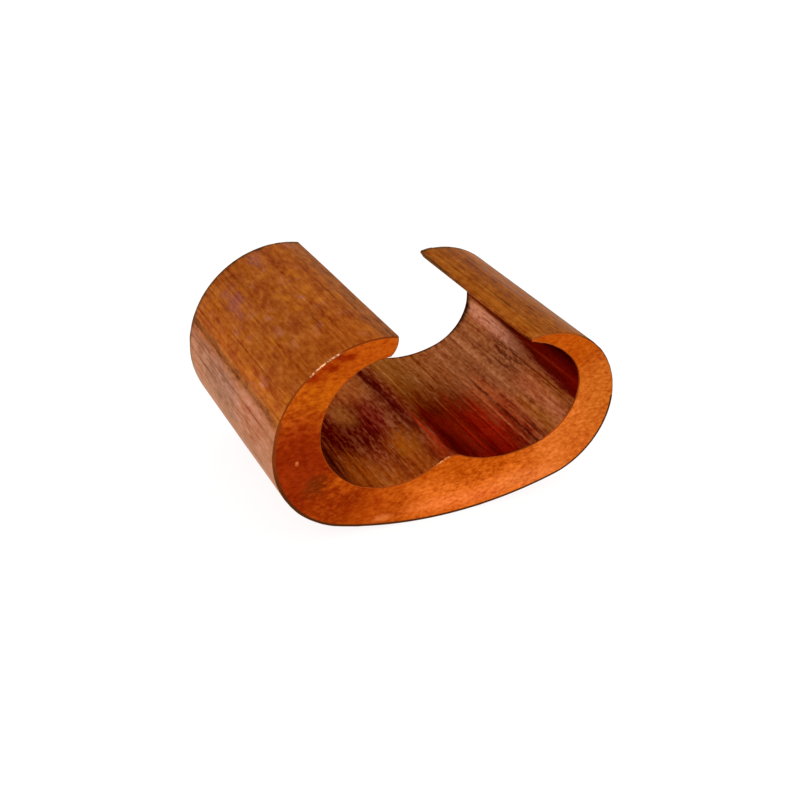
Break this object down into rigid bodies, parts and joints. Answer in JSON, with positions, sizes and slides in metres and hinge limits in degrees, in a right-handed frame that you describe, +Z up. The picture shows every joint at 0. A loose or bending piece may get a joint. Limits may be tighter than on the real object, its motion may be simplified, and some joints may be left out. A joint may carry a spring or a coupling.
{
  "type": "c-tap connector",
  "caption": "Open copper C-section with a hooked groove for a main cable and a lipped groove for a tap cable, parted by a low ridge and pressed shut round them in a crimping tool.",
  "frame": {"origin": "middle of the part's box at the lowest line of its belly, on which it rests", "axes": "+X across the section from the hook to the lip, +Y along the cables away from the front face, +Z up through the mouth"},
  "size_m": [0.0388, 0.0216, 0.0217],
  "materials": {
    "copper": "drawn copper, lightly tarnished, with bright sawn ends"
  },
  "bodies": {
    "root": {"connector_body": "copper"}
  },
  "joints": []
}
